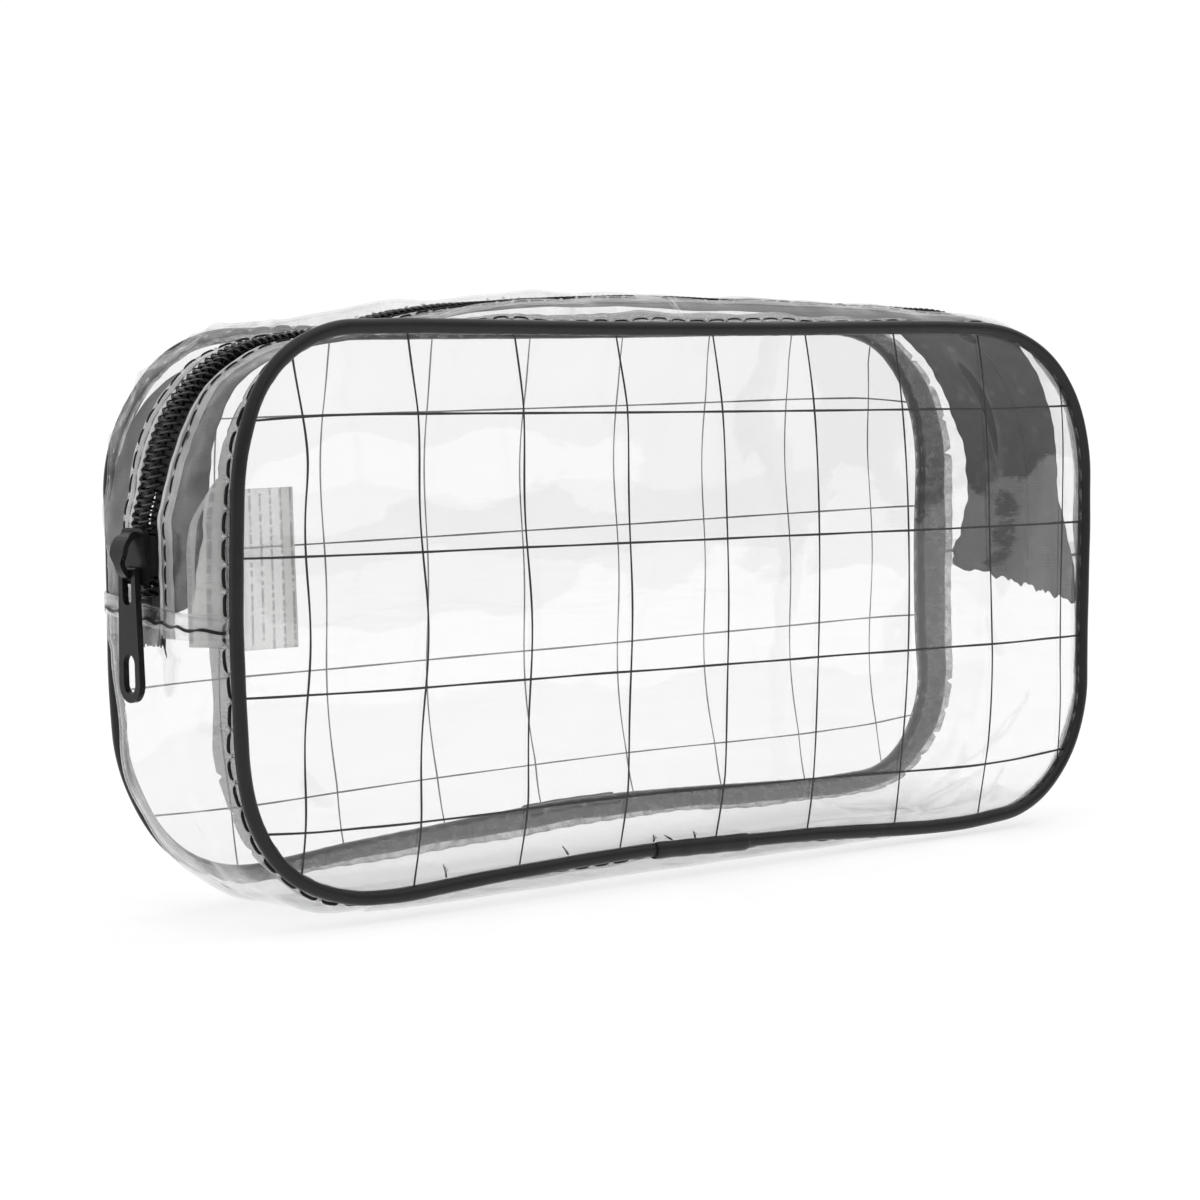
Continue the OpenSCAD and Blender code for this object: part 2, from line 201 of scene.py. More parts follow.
# How much higher the band stands towards the back
back_rise = smooth_loop(
    rounding=3.0,
    right=[(60, 0.0)],
    top=[(80, 1.6), (30, 1.7), (-8, 1.8), (-40, 1.6), (-60, 2.2), (-76, 2.6)],
    left=[(79, 1.2), (72, 0.0), (40, -0.8)],
    corners=[(0, 0.5, 1.0), (1, 0.1, 2.9), (1, 0.5, 3.4), (1, 0.8, 2.6), (2, 0.3, -1.0), (2, 0.8, 0.0),
             (3, 0.5, 0.0)],
)
# How far the soft rims stray from the outline, outwards
rim_stray = {
    -1: smooth_loop(
        rounding=2.5,
        right=[(34, -1.4), (49, -0.8), (65, 0.1)],
        top=[(68, 0.6), (20, 0.6), (-20, 1.0), (-44, 1.5), (-72, 2.1)],
        left=[(68, -1.6), (56, -1.2), (44, -1.4)],
        bottom=[(-77, 0.7), (-57, -0.4), (-33, -1.2), (-16, -1.4), (7, -0.6), (31, 0.3), (47, 1.4),
                (63, 2.4), (75, 2.6)],
        corners=[(0, 0.1, 0.4), (0, 0.3, 0.9), (0, 0.5, 1.1), (0, 0.7, 0.5), (0, 0.9, 0.0), (1, 0.1, 2.0),
                 (1, 0.36, 1.3), (1, 0.54, 0.0), (1, 0.7, -1.6), (1, 0.9, -2.4), (2, 0.1, -1.8),
                 (2, 0.35, -0.6), (2, 0.55, 0.3), (2, 0.85, 0.0), (3, 0.1, 1.5), (3, 0.4, 0.0),
                 (3, 0.7, -1.1)],
    ),
    1: smooth_loop(
        rounding=3.0,
        right=[(40, -6.2), (60, -6.2)],
        top=[(70, 1.4), (20, 1.0), (-60, 1.4)],
        left=[(70, -0.6), (44, -0.3)],
        bottom=[(-80, -0.4), (-61, -2.4), (-33, -4.2), (-5, -5.8), (14, -5.8), (34, -4.9), (51, -3.9),
                (70, -2.8)],
        corners=[(0, 0.15, -4.8), (0, 0.4, -2.3), (0, 0.7, 0.3), (1, 0.3, 1.0), (1, 0.6, -0.4),
                 (2, 0.1, -1.2), (2, 0.3, -1.7), (2, 0.6, -0.6), (3, 0.3, -3.2), (3, 0.6, -4.2),
                 (3, 0.9, -5.2)],
    ),
}


def wobble(s, y):
    """Small soft waves of the bands, none where the slider runs or where the bag stands."""
    free = 1 - hump(s, on_left(71), 17, 4)
    stand = 1 / (1 + np.exp(-(np.abs(y) - 14) / 1.5))
    low = ((s > on_bottom(-80)) & (s < on_bottom(88))).astype(float)
    w = 0.22 * np.sin(s / 5.3 + y / 7) + 0.16 * np.sin(s / 2.9 - y / 4 + 1.3)
    w = w + 0.2 * np.sin(s / 11.7 + y / 3.1)
    return w * free * (1 - low * (1 - 0.6 * stand))


def crown_at(s, y):
    """Height of the vinyl's outer face, which drops to the piping at both edges."""
    drop = np.minimum(1, np.maximum(0, np.abs(y) - FLAT_HALF) / (BAND_EDGE - FLAT_HALF))
    return crown_of(s) * (1 - drop ** 2) + back_rise(s) * hump(y, 13, 4.8) + wobble(s, y)


def nearest(x, z):
    """The place on the outline nearest to a point, its outward normal and how far inside it the point is."""
    z = z - CENTRE_Z
    k_corner = np.where(x > 0, np.where(z > 0, 0, 3), np.where(z > 0, 1, 2))
    r = np.array(RADII)[k_corner]
    qx, qz = np.abs(x) - HALF_W + r, np.abs(z) - HALF_H + r
    round_part = (qx > 0) & (qz > 0)
    sx, sz = np.where(x > 0, 1.0, -1.0), np.where(z > 0, 1.0, -1.0)
    length = np.maximum(np.hypot(qx, qz), 1e-6)
    side_x = qx > qz
    nx = np.where(round_part, sx * qx / length, np.where(side_x, sx, 0.0))
    nz = np.where(round_part, sz * qz / length, np.where(side_x, 0.0, sz))
    inside = r - np.where(round_part, length, np.maximum(qx, qz))
    start = k_corner * (math.pi / 2)
    angle = np.mod(np.arctan2(nz, nx) - start + 1e-9, TAU)
    s_round = STARTS[2 * k_corner + 1] + angle * r
    k_side = np.where(side_x, np.where(x > 0, 0, 2), np.where(z > 0, 1, 3))
    t = np.select([k_side == 0, k_side == 1, k_side == 2], [z, -x, -z], x)
    s_side = STARTS[2 * k_side] + t - np.array(START)[k_side]
    return np.where(round_part, s_round, s_side), nx, nz, inside


OPEN_OUT = 5.0                       # how far the back leans out at its right end


def open_share(x):
    """How much of the back's opening out there is at x."""
    return np.clip((x + 5) / 110, 0, 1) ** 1.5


def warp(p):
    """The soft rims stray from the outline, less and less inwards, and the back opens out to the right."""
    p = np.array(p, float)
    x, y, z = p[..., 0], p[..., 1], p[..., 2]
    s, nx, nz, inside = nearest(x, z)
    fade = (1 - np.clip(inside / 23, 0, 1)) ** 1.5 * np.clip((np.abs(y) - 11.5) / 8, 0, 1) ** 1.6
    stray = np.where(y < 0, rim_stray[-1](s), rim_stray[1](s)) * fade
    p[..., 0] = x + nx * stray
    p[..., 2] = z + nz * stray
    open_out = open_share(x) * np.clip(y / HALF_D, 0, 1) ** 1.5
    p[..., 1] = y + OPEN_OUT * open_out
    return p


def at(s, n, y):
    """Points for places (s, n, y)."""
    s, n, y = np.broadcast_arrays(np.asarray(s, float), n, y)
    p, d = outline(s)
    q = p + d * n[..., None]
    return warp(np.stack([q[..., 0], y, q[..., 1]], -1))


def tape_at(s, y):
    """Height of the tape's plane, flatter than the vinyl over it."""
    drop = np.clip((np.abs(y) - FLAT_HALF) / 5, 0, 1) ** 2
    return crown_of(s) * (1 - 0.14 * drop) + 0.35 * wobble(s, y)


def thin_top(s):
    """The coil lies flatter along the top, 1 elsewhere."""
    return 1 - 0.7 * hump(s, on_top(0), 78, 6)


def on_tape(s, y, lift=0.0):
    s, y = np.broadcast_arrays(np.asarray(s, float), np.asarray(y, float))
    return at(s, tape_at(s, y) + lift, y)


def on_band(s, y, lift=0.0):
    return at(s, crown_at(s, y) + lift, y)


# ---- Mesh helpers ----
def new_object(name, data):
    o = bpy.data.objects.new(name, data)
    bpy.context.scene.collection.objects.link(o)
    return o


class Build:
    """Collects several parts into one mesh, in millimetres, with UVs that tell each point's place."""

    def __init__(self):
        self.points, self.faces, self.uv, self.count = [], [], [], 0

    def add(self, points, faces, uv=None):
        points = np.asarray(points, float).reshape(-1, 3)
        self.points.append(points)
        self.faces += [tuple(int(i) + self.count for i in f) for f in faces]
        self.uv.append(np.zeros((len(points), 2)) if uv is None else np.asarray(uv, float).reshape(-1, 2))
        self.count += len(points)

    def object(self, name, material):
        mesh = bpy.data.meshes.new(name)
        mesh.from_pydata((np.concatenate(self.points) * MM).tolist(), [], self.faces)
        layer = mesh.uv_layers.new(name="place")
        index = np.zeros(len(mesh.loops), np.int32)
        mesh.loops.foreach_get("vertex_index", index)
        layer.data.foreach_set("uv", (np.concatenate(self.uv)[index] / 10).ravel())
        mesh.update()
        mesh.shade_smooth()
        mesh.materials.append(material)
        return new_object(name, mesh)


def quads(rows, cols, closed_rows=False, closed_cols=False, start=0, flip=False):
    """Faces between the points of a grid."""
    i = np.arange(rows if closed_rows else rows - 1)
    j = np.arange(cols if closed_cols else cols - 1)
    i, j = np.meshgrid(i, j, indexing="ij")
    i, j = i.ravel(), j.ravel()
    i2, j2 = (i + 1) % rows, (j + 1) % cols
    f = np.stack([i * cols + j, i * cols + j2, i2 * cols + j2, i2 * cols + j], -1) + start
    return (f[:, ::-1] if flip else f).tolist()


def shell(build, top, low, uv=None, closed=False, flip=False):
    """A closed thin sheet between two grids of points, rows along the sheet."""
    rows, cols = top.shape[:2]
    n = rows * cols
    faces = quads(rows, cols, closed, flip=flip) + quads(rows, cols, closed, start=n, flip=not flip)
    i = np.arange(rows if closed else rows - 1)
    for j, back in ((0, False), (cols - 1, True)):
        a, b = i * cols + j, (i + 1) % rows * cols + j
        f = np.stack([a, b, b + n, a + n], -1)
        faces += (f[:, ::-1] if back != flip else f).tolist()
    if not closed:
        j = np.arange(cols - 1)
        for r, back in ((0, True), (rows - 1, False)):
            a = r * cols + j
            f = np.stack([a, a + 1, a + 1 + n, a + n], -1)
            faces += (f[:, ::-1] if back == flip else f).tolist()
    uvs = None if uv is None else np.concatenate([uv.reshape(-1, 2)] * 2)
    build.add(np.concatenate([top.reshape(-1, 3), low.reshape(-1, 3)]), faces, uvs)


def band_sheet(build, surface, s, y, n, thick, flip=False):
    """A closed sheet whose upper side lies n above on_band or on_tape."""
    shell(build, surface(s, y, n), surface(s, y, n - thick), np.stack([s, y], -1), flip=flip)


def sweep(build, s, section):
    """A closed ring with the cross-section section(s) -> points (m, 2) of (n, y), swept along places s."""
    rings, uvs = [], []
    for si in s:
        c = section(si)
        rings.append(at(np.full(len(c), si), c[:, 0], c[:, 1]))
        uvs.append(np.stack([np.full(len(c), si), np.arange(len(c)) * 1.0], -1))
    build.add(np.concatenate(rings), quads(len(s), len(rings[0]), True, True, flip=True), np.concatenate(uvs))


def tube(build, path, radius, sides=6, round_ends=False):
    """A tube along points."""
    path = np.asarray(path, float)
    t = np.gradient(path, axis=0)
    t /= np.linalg.norm(t, axis=1)[:, None] + 1e-9
    up = np.array([0.0, 0.0, 1.0]) if abs(t[0, 2]) < 0.9 else np.array([0.0, 1.0, 0.0])
    u = np.cross(t[0], up)
    u /= np.linalg.norm(u)
    rings = []
    radii = np.broadcast_to(np.asarray(radius, float), (len(path),)).copy()
    if round_ends:
        radii[0] *= 0.35
        radii[-1] *= 0.35
    a = np.arange(sides) / sides * TAU
    for i in range(len(path)):
        u = u - (u @ t[i]) * t[i]
        u /= np.linalg.norm(u) + 1e-9
        v = np.cross(t[i], u)
        rings.append(path[i] + radii[i] * (np.cos(a)[:, None] * u + np.sin(a)[:, None] * v))
    faces = quads(len(path), sides, False, True, flip=True)
    faces += [list(range(sides)), [(len(path) - 1) * sides + i for i in range(sides)][::-1]]
    far = np.concatenate([[0], np.cumsum(np.linalg.norm(np.diff(path, axis=0), axis=1))])
    uv = np.stack(np.meshgrid(far, np.arange(sides) * 1.0, indexing="ij"), -1)
    build.add(np.concatenate(rings), faces, uv)


# ---- Materials ----
class Nodes:
    """Short spelling for the node tree of a material or a world."""

    def __init__(self, owner):
        self.owner = owner
        owner.use_nodes = True
        self.tree = owner.node_tree
        self.tree.nodes.clear()

    def feed(self, socket, value):
        if isinstance(value, bpy.types.NodeSocket):
            self.tree.links.new(value, socket)
        elif value is not None:
            socket.default_value = value

    def add(self, kind, **values):
        """A node with its settings, as _name, and its inputs, by name or by number as i0, i1..."""
        node = self.tree.nodes.new("ShaderNode" + kind)
        for key, value in values.items():
            if key.startswith("_"):
                setattr(node, key[1:], value)
            elif key[0] == "i" and key[1:].isdigit():
                self.feed(node.inputs[int(key[1:])], value)
            else:
                self.feed(node.inputs[key.replace("_", " ")], value)
        return node

    def math(self, op, a, b=None, clamp=False):
        return self.add("Math", _operation=op, _use_clamp=clamp, i0=a, i1=b).outputs[0]

    def times(self, a, b):
        return self.math("MULTIPLY", a, b)

    def plus(self, a, b, clamp=False):
        return self.math("ADD", a, b, clamp)

    def mix(self, fac, a, b):
        """Mixes two shaders."""
        return self.add("MixShader", i0=fac, i1=a, i2=b).outputs[0]

    def position(self):
        return self.add("TexCoord").outputs["Object"]

    def place(self):
        """(s, y) in centimetres."""
        return self.add("UVMap", _uv_map="place").outputs["UV"]

    def split(self, vector):
        return self.add("SeparateXYZ", Vector=vector).outputs

    def noise(self, vector, scale, detail=3.0, rough=0.55):
        return self.add("TexNoise", Vector=vector, Scale=scale, Detail=detail, Roughness=rough).outputs["Fac"]

    def map_range(self, value, low, high, to_low, to_high):
        return self.add("MapRange", Value=value, i1=low, i2=high, i3=to_low, i4=to_high).outputs["Result"]

    def bump(self, strength, distance, height):
        return self.add("Bump", Strength=strength, Distance=distance, Height=height).outputs["Normal"]

    def ramp(self, fac, stops):
        node = self.add("ValToRGB", Fac=fac)
        elements = node.color_ramp.elements
        while len(elements) < len(stops):
            elements.new(0.5)
        for e, (where, colour) in zip(elements, stops):
            e.position = where
            e.color = (*((colour,) * 3 if isinstance(colour, (int, float)) else colour), 1)
        return node.outputs["Color"]

    def done(self, shader, kind="Material"):
        self.add("Output" + kind, Surface=shader)
        return self.owner


def new_material(name):
    return Nodes(bpy.data.materials.new(name))


def film(name, tint, haze, haze_more, rough, bump, bump_scale, gain=1.0, haze_scale=60.0, haze_colour=0.8,
         low_haze=0.0):
    """Clear or milky vinyl film with gloss and a thin noisy haze, made milkier and greyer towards the floor
    by low_haze.
    """
    m = new_material(name)
    pos = m.position()
    wave = m.noise(pos, bump_scale, 2.0)
    fine = m.noise(pos, bump_scale * 9, 2.0)
    normal = m.bump(bump, 0.002, m.plus(wave, m.times(fine, 0.06)))
    back = m.add("NewGeometry").outputs["Backfacing"]
    ior = m.math("SUBTRACT", 1.5, m.times(back, 1.5 - 1 / 1.5))
    fresnel = m.add("Fresnel", IOR=ior, Normal=normal).outputs["Fac"]
    gloss = m.add("BsdfGlossy", Color=(0.97, 0.97, 0.98, 1), Roughness=rough, Normal=normal).outputs["BSDF"]
    clear = m.add("BsdfTransparent", Color=(tint, tint, tint * 0.999, 1)).outputs["BSDF"]
    milky = (haze_colour, haze_colour, haze_colour * 1.01, 1)
    diffuse = m.add("BsdfDiffuse", Color=milky, Normal=normal).outputs["BSDF"]
    through = m.add("BsdfTranslucent", Color=milky).outputs["BSDF"]
    spots = m.math("POWER", m.noise(pos, haze_scale, 4.0, 0.6), 2.0)
    amount = m.plus(m.times(spots, haze_more), haze, clamp=True)
    if low_haze:
        # milkier and greyer over the lowest few millimetres, towards the floor
        greyer_low = m.map_range(m.split(pos)["Z"], 0.0015, 0.007, low_haze, 0.0)
        amount = m.plus(amount, greyer_low, clamp=True)
    body = m.mix(amount, clear, m.mix(0.45, diffuse, through))
    return m.done(m.mix(m.math("MULTIPLY", fresnel, gain, clamp=True), body, gloss))


def dark(name, colour, rough, bump_scale, bump, spec=0.5, vary=0.35, rough_vary=0.1):
    """Opaque finish with colour, roughness and bump from noise."""
    m = new_material(name)
    pos = m.position()
    soft = m.noise(pos, bump_scale * 0.12)
    fine = m.noise(pos, bump_scale, 4.0, 0.6)
    low, high = (tuple(min(1, c * k) for c in colour) for k in (1 - vary, 1 + vary))
    base = m.ramp(m.plus(m.times(soft, 0.6), m.times(fine, 0.4)), [(0.3, low), (0.7, high)])
    roughness = m.map_range(fine, 0, 1, rough - rough_vary, rough + rough_vary)
    normal = m.bump(bump, 0.0004, fine)
    return m.done(m.add("BsdfPrincipled", Base_Color=base, Roughness=roughness, Normal=normal,
                        Specular_IOR_Level=spec).outputs["BSDF"])


def tape_material():
    """Woven tape with pale blots, and two pleats at the right corner painted into its colour: painted shade
    in a dark core where it buckles and a painted highlight in the pale rim round it.
    """
    m = new_material("zip_tape")
    pos, place = m.position(), m.place()
    s_cm, y_cm, _ = m.split(place)
    fine = m.noise(pos, 1500, 3.0, 0.6)
    tone = m.ramp(m.plus(m.times(m.noise(pos, 130), 0.7), m.times(fine, 0.3)), [(0.3, 0.042), (0.7, 0.085)])
    blots = m.add("TexVoronoi", _feature="SMOOTH_F1", Vector=pos, Scale=230.0).outputs["Distance"]
    blots_and_painted_pleats = m.map_range(blots, 0.16, 0.28, 1.5, 1.0)
    # painted shade and painted highlight: each pleat darkens the tape's colour in its core and brightens it
    # in a rim, for the shade and sheen of a buckle
    for s0, y0, run, wide, lean in (
        (corner(0, 0.3), 7.4, 12.0, 1.15, 0.03), (corner(0, 0.72), -1.6, 4.0, 1.2, 0.05),
    ):
        along = m.math("SUBTRACT", s_cm, s0 / 10)
        across = m.math("SUBTRACT", m.math("SUBTRACT", y_cm, y0 / 10), m.times(along, lean))
        squares = [m.math("POWER", m.math("ABSOLUTE", m.math("DIVIDE", v, size / 10)), 2.0)
                   for v, size in ((along, run), (across, wide))]
        far = m.math("DIVIDE", m.plus(*squares), 4.0)
        painted_pleat_shade_and_highlight = m.ramp(far, [(0.0, 0.2), (0.2, 0.15), (0.27, 1.0), (0.6, 0.66), (1.0, 0.55)])
        blots_and_painted_pleats = m.times(blots_and_painted_pleats, m.times(painted_pleat_shade_and_highlight, 1.8))
    colour = m.add("VectorMath", _operation="SCALE", i0=tone, Scale=blots_and_painted_pleats).outputs["Vector"]
    weave = [m.add("TexWave", _wave_type="BANDS", _bands_direction=way, Vector=place, Scale=scale,
                   Distortion=0.6).outputs["Fac"] for way, scale in (("X", 9.0), ("Y", 7.5))]
    normal = m.bump(0.3, 0.0003, m.plus(m.math("MAXIMUM", *weave), m.times(fine, 0.5)))
    return m.done(m.add("BsdfPrincipled", Base_Color=colour, Roughness=0.6, Normal=normal,
                        Specular_IOR_Level=0.3).outputs["BSDF"])


def label_material():
    """Thin white film with faint grey bars where print would be, and whiter under the strip."""
    m = new_material("label_film")
    x_cm, y_cm, _ = m.split(m.place())
    rows = m.times(x_cm, 4.4)
    line = m.math("FRACT", rows)
    bar = m.times(m.math("GREATER_THAN", line, 0.4), m.math("LESS_THAN", line, 0.62))
    spot = m.add("CombineXYZ", X=m.times(m.math("FLOOR", rows), 7.3), Y=m.times(y_cm, 9.0)).outputs[0]
    words = m.math("GREATER_THAN", m.noise(spot, 1.4, 2.0), 0.45)
    fine = m.noise(m.position(), 900, 4.0)
    ink = m.times(m.times(bar, words), 0.3)
    colour = m.ramp(m.plus(ink, m.times(fine, 0.1)), [(0.0, (0.88, 0.88, 0.87)), (0.75, (0.12, 0.12, 0.13))])
    normal = m.bump(0.15, 0.0005, fine)
    diffuse = m.add("BsdfDiffuse", Color=colour, Normal=normal).outputs["BSDF"]
    through = m.add("BsdfTranslucent", Color=colour).outputs["BSDF"]
    clear = m.add("BsdfTransparent", Color=(0.97, 0.97, 0.97, 1)).outputs["BSDF"]
    gloss = m.add("BsdfGlossy", Roughness=0.2, Normal=normal).outputs["BSDF"]
    flap = m.times(m.math("GREATER_THAN", x_cm, 2.4), 0.4)
    amount = m.plus(m.plus(m.times(ink, 0.8), 0.33), flap, clamp=True)
    return m.done(m.mix(0.05, m.mix(amount, clear, m.mix(0.5, diffuse, through)), gloss))


CLEAR = film("clear_vinyl", 0.985, 0.012, 0.03, rough=0.05, bump=0.4, bump_scale=55, haze_colour=0.6,
             low_haze=0.2)
PANEL = film("panel_vinyl", 0.984, 0.006, 0.012, rough=0.04, bump=0.2, bump_scale=38)
STRIP = film("strip_vinyl", 0.975, 0.0, 0.22, rough=0.05, bump=0.9, bump_scale=70, haze_scale=170, gain=0.6)
# whitish milky film: a folded double layer of vinyl is a little milky, but its whiteness here is mostly a
# painted highlight for the sheen the fold catches beside the coil
FOLD_PAINTED_HIGHLIGHT = film("fold_edge_painted_highlight_vinyl", 0.95, 0.62, 0.5, rough=0.1, bump=0.5, bump_scale=200, haze_colour=0.92)
SEAM_PALE = film("outer_seam_vinyl", 0.77, 0.32, 0.2, rough=0.14, bump=0.5, bump_scale=200, haze_scale=300,
                 haze_colour=0.42)
SEAM = film("seam_vinyl", 0.88, 0.02, 1.3, rough=0.14, bump=0.8, bump_scale=330, haze_scale=430,
            haze_colour=0.4)
DIMPLE = film("dimple_vinyl", 0.9, 0.75, 0.2, rough=0.25, bump=0.7, bump_scale=900, haze_colour=0.95)
PIPING = dark("black_piping", (0.014, 0.014, 0.0148), 0.3, 900, 0.1, spec=0.25, vary=0.2, rough_vary=0.03)
COIL = dark("zip_coil", (0.004, 0.004, 0.004), 0.24, 1800, 0.1, spec=0.45, vary=0.4)
THREAD = dark("black_thread", (0.007, 0.007, 0.0075), 0.6, 5200, 0.8, spec=0.3, vary=0.5)
ENAMEL = dark("black_enamel", (0.008, 0.0078, 0.008), 0.24, 1400, 0.05, spec=0.18, vary=0.2, rough_vary=0.05)
INK = dark("black_ink", (0.018, 0.018, 0.02), 0.45, 2600, 0.1, vary=0.5)
# the back grid's ink, made grey: a painted reflection veil, for black print seen through the films in front
# of it
INK_PAINTED_VEIL = dark("grey_ink_painted_veil", (0.19, 0.19, 0.195), 0.5, 2600, 0.1, spec=0.3, vary=0.3)
TAPE = tape_material()
LABEL = label_material()


# ---- Panels ----
RIM_INSET = 0.9
RIM_Y = 20.4
BULGE = 4.2


def rim_distance(x, z):
    """Distance inwards from the outline."""
    return nearest(x, z)[3]


def panel_depth(x, z, side):
    """Depth of the panel's outer face, positive on both panels."""
    d = np.clip((rim_distance(x, z) - RIM_INSET) / 44, 0, 1)
    swell = 1 - (1 - d) ** 2.5
    free = np.clip(d * 3.2, 0, 1) ** 1.5
    if side < 0:
        wave = 1.1 * np.cos(TAU * (z - 99 - x / 40) / 43) * hump(x, -112, 95)
        wave = wave + 0.35 * np.sin(TAU * (x / 71 + z / 160)) + 0.3 * np.sin(TAU * (x / 33 - z / 90) + 1)
    else:
        wave = 0.6 * np.cos(TAU * (z - 84 + x / 60) / 47) + 0.35 * np.sin(TAU * (x / 64 - z / 120))
    return RIM_Y + BULGE * swell + wave * free


def rim_z(x, top):
    """Height of the panel's rim above or below x."""
    inset_w, inset_h = HALF_W - RIM_INSET, HALF_H - RIM_INSET
    r = np.where(x > 0, RADII[0] if top else RADII[3], RADII[1] if top else RADII[2]) - RIM_INSET
    over = np.clip(np.abs(x) - (inset_w - r), 0, r)
    z = inset_h - r + np.sqrt(np.maximum(r * r - over * over, 0))
    return CENTRE_Z + (z if top else -z)


def spaced(count, power):
    """Numbers from -1 to 1, closer together at the ends."""
    t = np.linspace(-1, 1, count)
    return np.sign(t) * (1 - (1 - np.abs(t)) ** power)


def panel(name, side):
    x = spaced(190, 2.0) * (HALF_W - RIM_INSET)
    t = spaced(86, 1.5)
    low, high = rim_z(x, False), rim_z(x, True)
    z = (low + high)[:, None] / 2 + (high - low)[:, None] / 2 * t
    x = np.broadcast_to(x[:, None], z.shape)
    y = panel_depth(x, z, side)
    top = warp(np.stack([x, side * y, z], -1))
    under = warp(np.stack([x, side * (y - VINYL_T), z], -1))
    b = Build()
    shell(b, top, under, np.stack([x, z], -1), flip=side < 0)
    return b.object(name, PANEL)


def ribbon(build, x, z, side, width):
    """A printed line on a panel, a thin strip that follows it."""
    p = np.stack([x, z], -1)
    t = np.gradient(p, axis=0)
    t /= np.linalg.norm(t, axis=1)[:, None]
    across = np.stack([-t[:, 1], t[:, 0]], -1) * width[:, None] / 2
    grid = np.stack([p - across, p + across], 1)
    d = panel_depth(grid[..., 0], grid[..., 1], side)
    top = warp(np.stack([grid[..., 0], side * (d + 0.05), grid[..., 1]], -1))
    low = warp(np.stack([grid[..., 0], side * (d + 0.015), grid[..., 1]], -1))
    shell(build, top, low, flip=side > 0)


def grid_print(name, side):
    """One inch windowpane, printed a little askew on each panel; the back's lines are grey, with a painted
    reflection veil.
    """
    b = Build()
    if side < 0:
        first_x, lean, first_z, fall, line_w = -98.6, 0.0156, 93.15, -0.0152, 0.44
    else:
        first_x, lean, first_z, fall, line_w = -86.8, -0.003, 94.1, 0.002, 0.36
    for i in range(9):
        z = np.linspace(5, 110, 170)
        x = first_x + GRID_PITCH * i + (z - CENTRE_Z) * lean
        if side > 0:
            x = x + 0.8 * OPEN_OUT * open_share(x) - 3.2 * open_share(x) * np.clip((z - 72) / 30, 0, 1) ** 2
        keep = rim_distance(x, z) > RIM_INSET + 0.1
        if keep.sum() > 10:
            w = line_w + 0.05 * np.sin(z / 3.3 + i)
            ribbon(b, x[keep], z[keep], side, w[keep])
    for j in range(4):
        x = np.linspace(-112, 112, 330)
        z = first_z - GRID_PITCH * j + (x - 3.5) * fall
        keep = rim_distance(x, z) > RIM_INSET + 0.1
        w = line_w + 0.05 * np.sin(x / 4.1 + j)
        ribbon(b, x[keep], z[keep], side, w[keep])
    return b.object(name, INK if side < 0 else INK_PAINTED_VEIL)


# ---- Piping ----
def piping_section(side):
    a = np.arange(20) / 20 * TAU

    def section(s):
        r = PIPE_R + 0.03 * math.sin(s / 9) + 0.02 * math.sin(s / 2.3)
        return np.stack([r * np.cos(a), side * (HALF_D + r * np.sin(a))], -1)[:: int(side)]
    return section


flange_edge = smooth_loop(
    rounding=5.0,
    right=[(30, 17.4), (90, 17.4)],
    top=[(80, 18.0), (50, 19.0)],
    left=[(100, 19.0), (30, 19.0)],
    bottom=[(-70, 18.0), (60, 17.6)],
)


def flange_section(side):
    """The piping's flat flange, sewn against the inside of the band."""
    def section(s):
        end = float(flange_edge(s)) if side > 0 else 19.0
        rows = np.array([HALF_D - 0.7, HALF_D - 1.0, 19.3, (19.3 + end) / 2, end])
        top = np.array([float(crown_at(s, y)) for y in rows]) - np.array([0.0, 0.25, 0.5, 0.6, 0.7])
        top = np.maximum(top, 0.25)
        top[0], low = 1.05, top - 0.35
        pts = np.concatenate([np.stack([top, rows], -1), np.stack([low, rows - 0.05], -1)[::-1]])
        pts[:, 1] *= side
        return pts[:: -int(side)]
    return section


def piping(name, side):
    b = Build()
    s = np.arange(0, LOOP, 1.2)
    sweep(b, s, piping_section(side))
    sweep(b, s, flange_section(side))
    return b.object(name, PIPING)


def sleeve(name, side):
    """The split tube over the piping's butted ends, pinched a little at both ends."""
    b = Build()
    first, last = SLEEVE_LOW[0], SLEEVE_HIGH[0]
    x = np.concatenate([[first, first + 0.25, first + 0.8], np.linspace(first + 2, last - 2, 14),
                        [last - 0.8, last - 0.25, last]])
    s = on_bottom(x)[:, None]
    pinch = np.zeros(len(x))
    pinch[[0, -1]], pinch[[1, -2]] = 0.16, 0.04
    a = np.linspace(math.radians(150), math.radians(-100), 22)

    def wall(r):
        return at(s, r * np.cos(a), side * (HALF_D + r * np.sin(a)))
    outer = PIPE_R + 0.62 + 0.06 * np.sin(s * 0.9) - pinch[:, None]
    shell(b, wall(outer), wall(PIPE_R + 0.06), flip=side > 0)
    return b.object(name, PIPING)


# ---- Seams ----
def dashes(build, places, y_of, lift, length, radius, jitter=0.0, surface=None):
    """Rounded stitches that lie along the band at depth y."""
    for s in places:
        half = length / 2 * (1 + RNG.uniform(-0.08, 0.08))
        t = np.linspace(-1, 1, 9)
        ss = s + t * half
        y = y_of(ss) + RNG.uniform(-jitter, jitter)
        bow = lift + radius * 0.9 - (t ** 4) * radius * 1.2
        r = radius * np.sqrt(np.clip(1.08 - t ** 6, 0.06, 1))
        if surface is None:
            # drawn tighter into the vinyl along the top
            r = r * (1 - 0.5 * hump(ss, on_top(12), 78, 6))
        tube(build, (surface or on_band)(ss, y, bow), r, 8)


